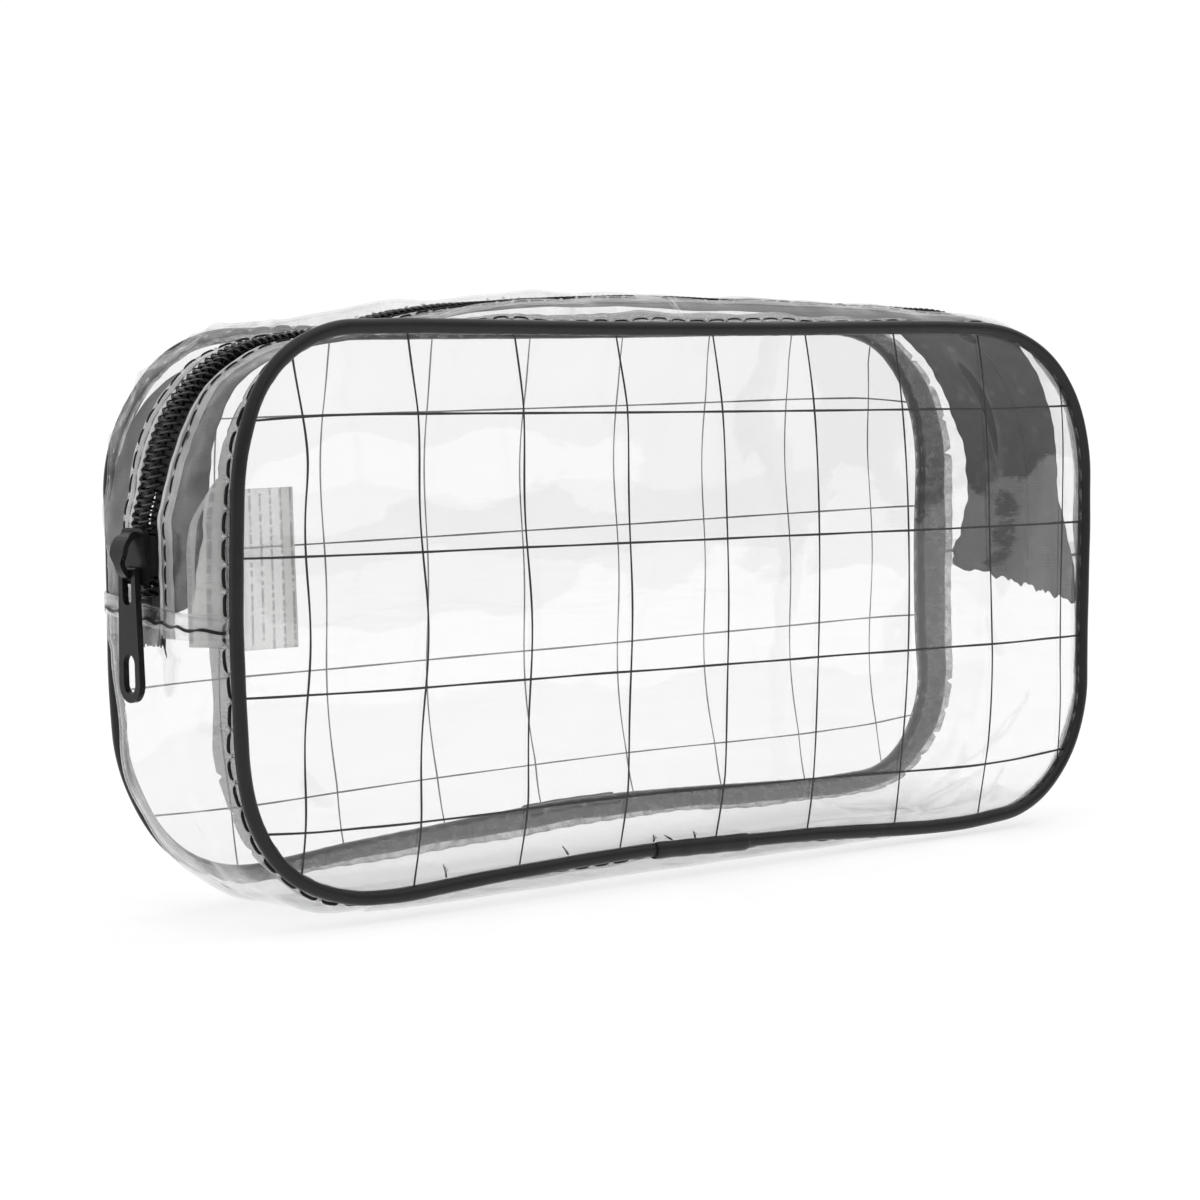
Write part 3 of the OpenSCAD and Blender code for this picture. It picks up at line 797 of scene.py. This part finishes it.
def dimples(build, places, y_of, lift, size):
    """Small puckered stars in the vinyl, where the thread goes down."""
    for s in places:
        y = float(y_of(np.array([s]))[0])
        points, faces = [], []
        arms = 10
        for i in range(arms):
            a = TAU * i / arms
            r = size * (1.0 if i % 2 == 0 else 0.42) * RNG.uniform(0.75, 1.15)
            points.append(on_band(s + r * math.cos(a), y + 0.8 * r * math.sin(a), lift + 0.03))
        points.append(on_band(s, y, lift + 0.24))
        points.append(on_band(s, y, lift - 0.1))
        for i in range(arms):
            j = (i + 1) % arms
            faces += [[i, j, arms], [j, i, arms + 1]]
        build.add(np.array(points), faces)


def seam(prefix, side):
    """Stitches beside the piping, the dimples between them and the milky turned-in edge behind them."""
    count = int(LOOP / SEAM_PITCH)
    places = np.arange(count) * LOOP / count
    stitches = Build()
    dashes(stitches, places, lambda s: SEAM_Y * side + 0.08 * np.sin(s / 3.1), -0.02, 4.1, 0.33, 0.06)
    thread = stitches.object(prefix + "_seam_stitches", THREAD)
    spots = Build()
    dimples(spots, places + LOOP / count / 2, lambda s: SEAM_Y * side + 0 * s, 0.04, 0.8)
    dots = spots.object(prefix + "_seam_dimples", DIMPLE)
    # the turned-in edge, cut to a slightly uneven line, wraps the piping's inner side
    s = np.arange(0, LOOP, 0.8)
    edge = through([(k * 23.0, v) for k, v in enumerate(RNG.uniform(15.6, 16.3, int(LOOP / 23)))], 4.0)
    share = np.linspace(0, 1, 7)
    inner = edge(s)[:, None]
    notch = sum(hump(s, corner(k, c), 0.35) for k in range(4) for c in np.linspace(0.1, 0.9, 6))
    inner = inner + 0.7 * notch[:, None] + (0.7 if side > 0 else 0.0)
    y = side * (inner + (18.9 - inner) * share)
    ss = np.broadcast_to(s[:, None], y.shape)
    fine = 0.1 if side > 0 else 0.03
    crumple = 0.12 * np.sin(ss / 2.9 + 3 * share) * (1 - share) + fine * np.sin(ss / 0.9 + 2 * share)
    n = np.maximum(crown_at(ss, y) - 1.5, 0.0) + crumple
    wrap_n = np.array([-0.2, -0.7, -1.0, -1.05])
    wrap_y = np.array([19.15, 19.6, 20.3, 20.9]) * side
    wrap = np.broadcast_to(wrap_n, (len(s), 4)) + 0.08 * np.sin(s[:, None] * 1.3 + np.arange(4))
    n = np.concatenate([n, wrap], 1)
    y = np.concatenate([y, np.broadcast_to(wrap_y, (len(s), 4))], 1)
    ss = np.broadcast_to(s[:, None], y.shape)
    b = Build()
    shell(b, at(ss, n, y), at(ss, n - 0.3, y), np.stack([ss, y], -1), closed=True, flip=side < 0)
    band = b.object(prefix + "_seam_allowance_film", SEAM if side > 0 else SEAM_PALE)
    return thread, dots, band


# ---- Bands ----
def band_rows(first, last, step=0.9):
    """Places from first to last, about a step apart."""
    return np.linspace(first, last, max(2, int(abs(last - first) / step)))


def gusset():
    """The bottom band with a lap at each end; the lap folds over the zip band's end."""
    first, last = on_left(LAP_Z), on_right(LAP_Z) + LOOP
    s = band_rows(first, last)
    left_in = np.clip((on_left(51) - s) / 1.5, 0, 1)
    right_in = np.clip((s - on_right(51) - LOOP) / 1.5, 0, 1)
    lift = np.maximum(left_in, right_in)[:, None] * LAP_LIFT
    y = np.concatenate([np.linspace(-19.9, -12, 12), np.linspace(-10, 10, 11), np.linspace(12, 19.9, 12)])
    ss, yy = np.meshgrid(s, y, indexing="ij")
    tilt = -LAP_SLOPE * yy * np.clip((on_left(45) - ss) / 12, 0, 1)
    b = Build()
    band_sheet(b, on_band, ss + tilt, yy, lift + creases(ss, yy), VINYL_T)
    # the folded-over hem of each lap: a rolled double edge
    roll = np.linspace(0, math.pi, 7)
    hem_s = np.concatenate([-0.32 * np.sin(roll), [0.8, 2.0, 3.6]])
    hem_n = LAP_LIFT + np.concatenate([0.32 * (1 - np.cos(roll)) - 0.1, [0.54] * 3])
    for end, inwards in ((first, 1), (last, -1)):
        ss, yy = np.meshgrid(end + inwards * hem_s, np.linspace(-19.6, 19.6, 60), indexing="ij")
        tilt = -LAP_SLOPE * yy if inwards > 0 else 0.0
        band_sheet(b, on_band, ss + tilt, yy, hem_n[:, None], 0.25, flip=inwards < 0)
    return b.object("bottom_gusset_sheet", CLEAR)


def creases(s, y):
    """Soft V-shaped dents of the bottom band beside its corners."""
    dent = np.zeros_like(s)
    for s0, y0, run, lean, deep in (
        (on_left(46), 3, 20, 0.45, 0.9), (on_left(38), -5, 18, -0.35, 0.7),
        (corner(2, 0.35), -4, 20, 0.3, 0.8), (corner(2, 0.75), 5, 16, -0.3, 0.8),
        (corner(3, 0.3), -6, 18, 0.4, 1.1), (corner(3, 0.7), 2, 16, -0.5, 1.0),
        (corner(3, 0.1), 8, 22, -0.35, 1.2), (corner(3, 0.55), 10, 14, 0.5, 0.9),
        (on_right(36) + LOOP, 6, 14, 0.7, 0.9),
    ):
        dent = dent - deep * hump(s, s0, run) * hump(y, y0 + lean * (s - s0), 1.6)
    return dent


def lap_stitching(name, left):
    """A wavy black thread line across the lap."""
    b = Build()
    y = np.linspace(-19.2, 19.2, 240)
    base = on_left(LAP_STITCH_Z) if left else on_right(LAP_STITCH_Z)
    s = base - (LAP_SLOPE * y if left else 0) + 0.22 * np.sin(y * 1.25)
    beat = np.abs(np.sin(y * 0.62))
    lift = LAP_LIFT + 0.16 + 0.1 * beat
    tube(b, on_band(s, y, lift), 0.2 + 0.13 * np.clip(beat * 2, 0, 1), 8)
    if left:
        # its loose end
        t = np.linspace(0, 1, 8)
        path = on_band(on_left(55.5) + 4.2 * t, -5.2 - 1.3 * t ** 1.3, 0.35 - 0.2 * t)
        tube(b, path, 0.16, 6, round_ends=True)
    return b.object(name, THREAD)


def loose_threads(name, side):
    """Small loops and cut ends of the seam thread, inside the seam."""
    b = Build()
    t = np.linspace(0, 1, 18)
    if side > 0:
        for s0, wide, tall, twist in ((on_left(41), 3.4, 1.7, 0.4), (on_left(37), 2.2, 1.2, -0.3),
                                      (corner(2, 0.22), 3.0, 2.4, 0.9), (corner(2, 0.3), 3.6, 1.7, -0.8),
                                      (corner(2, 0.47), 3.0, 1.9, 0.6), (corner(2, 0.62), 2.6, 1.4, 0.2)):
            ss = s0 + wide * (t - 0.5) + twist * np.sin(TAU * t)
            yy = 16.6 - 1.5 * tall * np.sin(math.pi * t) - 0.3 * np.sin(9 * t)
            tube(b, on_band(ss, yy, -0.9 - 0.7 * np.sin(math.pi * t)), 0.12, 5)
    else:
        for x0, tall, lean in (
            (-66, 2.6, 0.4), (-36, 2.1, -0.5), (-14, 1.6, 1.0), (-9, 1.3, -1.2), (-3, 1.5, 0.6),
        ):
            for k in range(3):
                q = t * tall * (1 - 0.22 * k)
                ss = on_bottom(x0) + (lean + 0.5 * (k - 1)) * t + 0.15 * np.sin(6 * t + k)
                tube(b, at(ss, -1.5 - q, -20.1 + 0.5 * t + 0.2 * k), 0.13 - 0.02 * k, 5, round_ends=True)
    return b.object(name, THREAD)


MIDDLE = on_top(-2)
HALVES = {
    "left": (MIDDLE, on_left(LAP_Z - 6)),
    "right": (on_right(LAP_Z - 6), MIDDLE),
}


def strip(name, side, half):
    """Vinyl strip beside the coil, its free edge turned under."""
    first, last = HALVES[half]
    s = band_rows(first, last, 0.8)
    y = np.concatenate([np.linspace(STRIP_EDGE, 8, 9), np.linspace(8.6, 18.7, 24)]) * side
    ss, yy = np.meshgrid(s, y, indexing="ij")
    near = hump(ss, corner(1, 0.45), 24, 4) + 0.35 * hump(ss, on_left(68), 10, 4)
    outer = np.clip((np.abs(yy) - 9) / 3, 0, 1) * np.clip((18.6 - np.abs(yy)) / 1.5, 0, 1)
    fold_lines = np.abs(np.sin(ss / 4.6 + np.abs(yy) / 1.9))
    fold_lines = fold_lines + 0.7 * np.abs(np.sin(ss / 3.1 - np.abs(yy) / 2.6 + 1))
    crinkle = (1.2 if side > 0 else 0.4) * near * outer * (1.0 - fold_lines)
    b = Build()
    band_sheet(b, on_band, ss, yy, crinkle, VINYL_T, flip=side < 0)
    return b.object(name, STRIP)


def fold(name, side, half):
    """The strip's rounded folded edge and the layer turned under, in a whitish film that paints the edge's
    highlight.
    """
    first, last = HALVES[half]
    s = band_rows(first, last, 0.8)
    r = 0.36
    turn = np.radians(np.linspace(90, 270, 9))
    n = np.concatenate([[0.04], r * np.sin(turn) - r, [-0.74, -0.74]])
    y = STRIP_EDGE + np.concatenate([[0.9], r * np.cos(turn) + r - 0.3, [1.6, 8.0 - STRIP_EDGE]])
    ss, yy = np.meshgrid(s, y, indexing="ij")
    wave = 0.12 * np.sin(ss / 1.9) + 0.08 * np.sin(ss / 0.8)
    b = Build()
    band_sheet(b, on_band, ss, side * (yy + wave), n, 0.12, flip=side < 0)
    return b.object(name, FOLD_PAINTED_HIGHLIGHT)


# How far out each tape's outer edge lies, round the outline
TAPE_REACH = {
    ("left", -1): dict(
        top=[(0, 12.5), (-60, 12.0)], corners=[(1, 0.2, 12.0), (1, 0.6, 13.6)], bottom=[(0, 3.0)],
        left=[(82, 15.6), (74, 15.8), (66, 14.4), (60.5, 13.6), (59, 4.4), (50, 3.6)]),
    ("left", 1): dict(
        top=[(0, 11.5), (-70, 8.0)], corners=[(1, 0.3, 10.5), (1, 0.6, 15.0)], bottom=[(0, 3.0)],
        left=[(82, 16.8), (74, 17.0), (61, 15.8), (59, 3.5), (50, 3.0)]),
    ("right", -1): dict(
        top=[(70, 14.0), (0, 12.5)], corners=[(0, 0.2, 9.6), (0, 0.6, 12.4)], bottom=[(0, 13.0)],
        right=[(47, 15.0), (56, 13.8), (70, 10.0), (80, 9.0)]),
    ("right", 1): dict(
        top=[(60, 15.0), (0, 11.5)], corners=[(0, 0.3, 15.8)], bottom=[(0, 13.0)],
        right=[(47, 17.0), (58, 16.5), (70, 14.6), (80, 14.8)]),
}


def tape(name, side, half):
    """Woven tape with an uneven outer edge and a cut end."""
    first, last = HALVES[half]
    if half == "left":
        last = on_left(53.5)
    else:
        first = on_right(TAPE_END_Z + 1)
    s = band_rows(first, last, 0.6)
    reach = smooth_loop(0.8, **TAPE_REACH[half, side])(s) + 0.12 * np.sin(s / 1.7) + 0.08 * np.sin(s / 0.7)
    share = np.linspace(0, 1, 22)
    # the two tapes stand apart where the slider's wedge runs
    inner = 0.03 + 0.47 * hump(s, on_left(72.7), 9.2, 10)[:, None]
    y = side * (inner + (reach[:, None] - inner) * share)
    ss = np.broadcast_to(s[:, None], y.shape).copy()
    steps = 0.35 * np.sin(share * 33) + 0.3 * np.sign(np.sin(share * 19 + 1)) + 0.2 * np.sin(share * 71)
    if half == "left":
        ss += np.clip((ss - on_left(58)) / 4, 0, 1) * steps
    else:
        # the cut runs aslant, higher towards the back
        ss += np.clip((on_right(62) - ss) / 14, 0, 1) * (steps + 0.24 * (y + 9))
    b = Build()
    sag = 0.12 * np.sin(ss / 6.3) * share
    if half == "right":
        for y0, s0, run, wide, deep, lean in (
            (7.6, corner(0, 0.3), 15, 1.2, 1.5, 0.05), (-0.8, corner(0, 0.66), 5, 1.1, 1.0, 0.0),
            (-6.5, on_right(66), 13, 3.0, 0.9, -0.25), (9.5, on_right(62), 9, 2.2, 0.9, 0.3),
        ):
            sag = sag - deep * hump(y, y0 + lean * (ss - s0), wide) * hump(ss, s0, run, 4)
    band_sheet(b, on_tape, ss, y, TAPE_N + sag, TAPE_T, flip=side < 0)
    return b.object(name, TAPE)


def coil(name, side, half):
    """Nylon coil: one filament wound in flat slanted loops."""
    first, last = HALVES[half]
    if half == "left":
        last = on_left(LAP_Z + 0.4)
    else:
        first = on_right(LAP_Z + 0.4)
    turns = int((last - first) / COIL_PITCH)
    t = np.arange(turns * TURN_POINTS + 1) / TURN_POINTS
    phase = 0.0 if side > 0 else 0.5
    s = first + t * COIL_PITCH
    c, d = np.cos(TAU * (t + phase)), np.sin(TAU * (t + phase))
    flat = thin_top(s)
    y = 1.25 + 1.72 * np.sign(c) * np.abs(c) ** 0.55
    n = TAPE_N + flat * (1.15 + 0.8 * np.sign(d) * np.abs(d) ** 0.45) + 1.2 * (1 - flat)
    b = Build()
    tube(b, on_tape(s, y * side, n), 0.27 * (0.45 + 0.55 * flat), 7)
    if side < 0:
        # the cord that the coils are wound round
        core = s[::TURN_POINTS // 2]
        flat = thin_top(core)
        path = on_tape(core, 0.0, TAPE_N + 1.15 * flat + 1.2 * (1 - flat))
        tube(b, path, 0.45 * flat + 0.12 * (1 - flat), 8)
    return b.object(name, COIL)


def coil_sewing(name, side, half):
    """Two rows of thread that hold the coil to the tape, sunk between its turns."""
    first, last = HALVES[half]
    last = on_left(LAP_Z + 0.6) if half == "left" else last
    first = on_right(LAP_Z + 0.6) if half == "right" else first
    b = Build()
    s = np.arange(first, last, 0.28)
    flat = thin_top(s)
    for y0, r in ((1.9, 0.13), (2.45, 0.12)):
        lift = TAPE_N + flat * (1.98 + 0.3 * np.cos(TAU * s / COIL_PITCH)) + 1.2 * (1 - flat)
        tube(b, on_tape(s, side * (y0 + 0.08 * np.sin(TAU * s / COIL_PITCH / 2)), lift), r, 6)
    return b.object(name, THREAD)


def zip_stitches(name, side, half):
    """One row of stitches along the strip, and their places."""
    first, last = HALVES[half]
    first = first + (4 if half == "left" else 8)
    last = last - (6 if half == "left" else 3)
    places = np.arange(first, last, STITCH_PITCH)

    def surface(s, y, n):
        return at(s, np.where(thin_top(s) < 0.6, tape_at(s, y), crown_at(s, y)) + n, y)
    b = Build()
    dashes(b, places, lambda s: side * (STITCH_Y + 0.06 * np.sin(s / 2)), -0.05, 3.2, 0.2, 0.05, surface)
    return b.object(name, THREAD), places


def zip_ticks(name, side, places):
    """White puckers between the stitches of the strips."""
    b = Build()
    dimples(b, places + STITCH_PITCH / 2, lambda s: side * (STITCH_Y + 0 * s), 0.03, 0.55)
    return b.object(name, DIMPLE)


# ---- Make the soft pieces ----
def dress(o, nodes):
    if nodes:
        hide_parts(*nodes)
    return o


def as_root(o, slot, *nodes):
    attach(o, "root")
    return dress(o, nodes)


for prefix, side in (("front", -1.0), ("back", 1.0)):
    cord = prefix + "_piping_cord"
    window = as_root(panel(prefix + "_panel_sheet", side), "clear_vinyl", prefix + "_panel")
    as_root(grid_print(prefix + "_grid_print", side), "black_piping")
    as_root(piping(cord, side), "black_piping", prefix + "_piping")
    as_root(sleeve(prefix + "_piping_sleeve_tube", side), "black_piping", prefix + "_piping_sleeve")
    thread, dots, band = seam(prefix, side)
    as_root(thread, "black_thread", prefix + "_seam_thread")
    as_root(loose_threads(prefix + "_loose_threads", side), "black_thread")
    as_root(dots, "hazy_vinyl")
    as_root(band, "hazy_vinyl", prefix + "_seam_allowance")
    for half, start, end in (("left", -0.087, -0.062), ("right", 0.076, 0.051)):
        def bend(o, kind=None):
            """Bakes the piece's transform and hides the nodes it stands for, which may be two nodes of a
            kind.
            """
            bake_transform(o)
            return dress(o, [f"{prefix}_{kind}_{part}" for part in (half, "top")] if kind else ())
        cover = bend(strip(f"{prefix}_zip_strip_{half}", side, half), "strip")
        hem = bend(fold(f"{prefix}_zip_strip_fold_{half}", side, half))
        woven = bend(tape(f"{prefix}_zip_tape_{half}", side, half), "tape")
        teeth = bend(coil(f"{prefix}_zip_coil_{half}", side, half), "coil")
        sewing = bend(coil_sewing(f"{prefix}_coil_sewing_{half}", side, half))
        row, places = zip_stitches(f"{prefix}_zip_stitches_{half}", side, half)
        bend(row, "zip_thread")
        ticks = bend(zip_ticks(f"{prefix}_zip_stitch_dimples_{half}", side, places))

# the bottom band goes from lap to lap, with a hem turned under at both ends
bottom = as_root(gusset(), "clear_vinyl", "bottom_gusset")
as_root(lap_stitching("left_lap_stitching", True), "black_thread", "left_lap_thread")
as_root(lap_stitching("right_lap_stitching", False), "black_thread", "right_lap_thread")


# ---- Care label ----
def care_label():
    """A film folded round the seam's corner: one half inside the side, one behind the front panel."""
    b = Build()
    r = 0.8
    x0, y0 = LABEL_LOW[0] + 0.2, LABEL_LOW[1] + 0.1
    z = np.linspace(LABEL_LOW[2], LABEL_HIGH[2], 26)
    front_w, side_w = LABEL_HIGH[0] - LABEL_LOW[0], LABEL_HIGH[1] - LABEL_LOW[1]
    turn = np.radians(np.linspace(0, 90, 6))
    side_run, front_run = np.linspace(side_w, r, 14), np.linspace(r, front_w, 12)
    x = np.concatenate([np.full(14, x0), x0 + r * (1 - np.cos(turn)), x0 + front_run])[:, None]
    y = np.concatenate([y0 + side_run, y0 + r * (1 - np.sin(turn)), np.full(12, y0)])[:, None]
    i = np.arange(32)[:, None]
    curl = 0.35 * np.sin(z / 9 + i / 6) * abs(i - 17) / 17
    top = np.stack([x + curl * (i < 14), y + curl * (i >= 20), np.broadcast_to(z, curl.shape)], -1)
    n = np.where(i[..., None] < 17, np.array([0.12, 0, 0]), np.array([0, 0.12, 0]))
    far = np.cumsum(np.r_[0, np.linalg.norm(np.diff(top[:, 0], axis=0), axis=1)])
    shell(b, top, top + n, np.stack(np.meshgrid(far, z, indexing="ij"), -1))
    # the half that lies under the strip, against the tape
    z = np.linspace(53.5, 84, 30)
    share = np.linspace(0, 1, 9)
    near = -12.6 - 4.2 * np.clip((z - 70) / 14, 0, 1) ** 1.4
    y = near[:, None] + (-18.4 - near[:, None]) * share
    s = np.broadcast_to(on_left(z)[:, None], y.shape)
    n = 0.12 * np.sin(s / 4 + 3 * share) - 0.62
    shell(b, on_band(s, y, n), on_band(s, y, n - 0.12), np.stack([y * 0.7 + 40, s], -1), flip=True)
    return b.object("care_label_film", LABEL)


tag = as_root(care_label(), "label_film", "care_label")

# ---- Slider and pull: the CAD nodes, with rounded edges ----
for node, width in (("slider_body", 0.22), ("pull_tab", 0.18)):
    o = frame["nodes"][node]
    o.data.materials.clear()
    o.data.materials.append(ENAMEL)
    bevel = o.modifiers.new("rounded", "BEVEL")
    bevel.width = width * MM
    bevel.segments = 3
    bevel.limit_method = "ANGLE"
    bevel.angle_limit = math.radians(35)
    o.data.shade_smooth()
    o.data.set_sharp_from_angle(angle=math.radians(40))


# ---- Camera, floor, light ----
CAMERA_AT = (-0.44259, -0.52545, 0.10341)
CAMERA_TURN = (85.939, -1.144, -39.453)     # degrees: tilt down from the zenith, roll, turn to the left


def camera():
    data = bpy.data.cameras.new("camera")
    data.lens, data.sensor_width = 99.9, 36
    data.clip_start, data.clip_end = 0.01, 50
    o = new_object("camera", data)
    o.location = CAMERA_AT
    tilt, roll, turn = (math.radians(a) for a in CAMERA_TURN)
    o.rotation_euler = (Euler((0, 0, turn)).to_matrix() @ Euler((tilt, 0, 0)).to_matrix()
                        @ Euler((0, 0, roll)).to_matrix()).to_euler()
    bpy.context.scene.camera = o


def floor():
    size, z = 6.0, -0.0004
    mesh = bpy.data.meshes.new("floor")
    points = [(-size, -size, z), (size, -size, z), (size, size, z), (-size, size, z)]
    mesh.from_pydata(points, [], [(0, 1, 2, 3)])
    m = new_material("floor_white")
    paint = m.add("BsdfDiffuse", Color=m.ramp(m.noise(m.position(), 40.0), [(0.3, 0.35), (0.7, 0.39)]))
    glow = m.add("Emission", Color=(1, 1, 1, 1), Strength=0.68)
    mesh.materials.append(m.done(m.add("AddShader", i0=paint.outputs[0], i1=glow.outputs[0]).outputs[0]))
    new_object("floor", mesh)


def world():
    """White to the camera, and to all else a studio: darker below, with a white wall behind the bag."""
    w = bpy.data.worlds.new("studio")
    bpy.context.scene.world = w
    m = Nodes(w)
    _, y, z = m.split(m.add("TexCoord").outputs["Generated"])
    room = m.ramp(z, [(0.0, 0.30), (0.25, 0.45), (0.55, 0.85), (0.9, 1.05)])
    behind = m.add("MapRange", _interpolation_type="SMOOTHSTEP", Value=y, i1=-0.15, i2=0.45).outputs["Result"]
    lit = m.add("Mix", _data_type="RGBA", i0=behind, i6=room, i7=(1, 1, 1, 1)).outputs[2]
    soft = m.add("Background", Color=lit, Strength=1.0).outputs[0]
    white = m.add("Background", Color=(1, 1, 1, 1), Strength=1.02).outputs[0]
    m.done(m.mix(m.add("LightPath").outputs["Is Camera Ray"], soft, white), "World")


def light(name, where, target, size, power):
    data = bpy.data.lights.new(name, "AREA")
    data.shape, data.size, data.size_y, data.energy = "RECTANGLE", size[0], size[1], power
    o = new_object(name, data)
    o.location = where
    o.rotation_mode = "QUATERNION"
    o.rotation_quaternion = (Vector(target) - Vector(where)).to_track_quat("-Z", "Y")
    o.visible_camera = False


camera()
floor()
world()
light("soft_top", (0.1, -0.2, 1.1), (0, 0, 0.05), (1.3, 0.9), 1.6)
light("soft_front", (-0.3, -1.3, 0.7), (-0.02, 0, 0.06), (0.5, 0.35), 0.35)

scene = bpy.context.scene
scene.view_settings.view_transform = "Standard"
scene.cycles.transparent_max_bounces = 96
scene.cycles.max_bounces = 10
